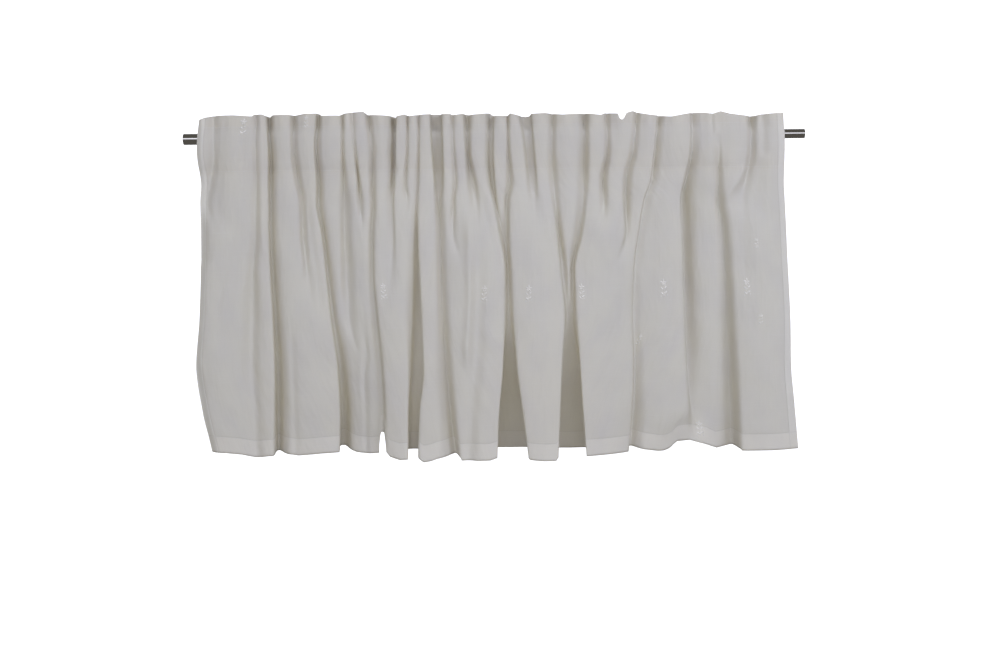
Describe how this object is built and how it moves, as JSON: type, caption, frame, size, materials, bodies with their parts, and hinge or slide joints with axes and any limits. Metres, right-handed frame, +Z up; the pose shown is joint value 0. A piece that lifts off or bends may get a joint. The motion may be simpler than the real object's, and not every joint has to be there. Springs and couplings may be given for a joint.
{
  "type": "window valance on rod",
  "caption": "Short gathered linen-look window valance with a stand-up header and rod pocket, hanging in deep uneven folds on a telescopic steel rod.",
  "frame": {"origin": "middle of the rod, on the rod's axis", "axes": "+X along the rod to the viewer's right, +Y from the front of the cloth to the window behind it, +Z up"},
  "size_m": [1.076, 0.1223, 0.5991],
  "materials": {
    "cloth": "off-white slubbed plain weave, matt and slightly sheer",
    "steel": "polished steel tube"
  },
  "bodies": {
    "root": {"valance_cloth": "cloth", "rod_outer_tube": "steel", "rod_inner_tube": "steel"}
  },
  "joints": []
}
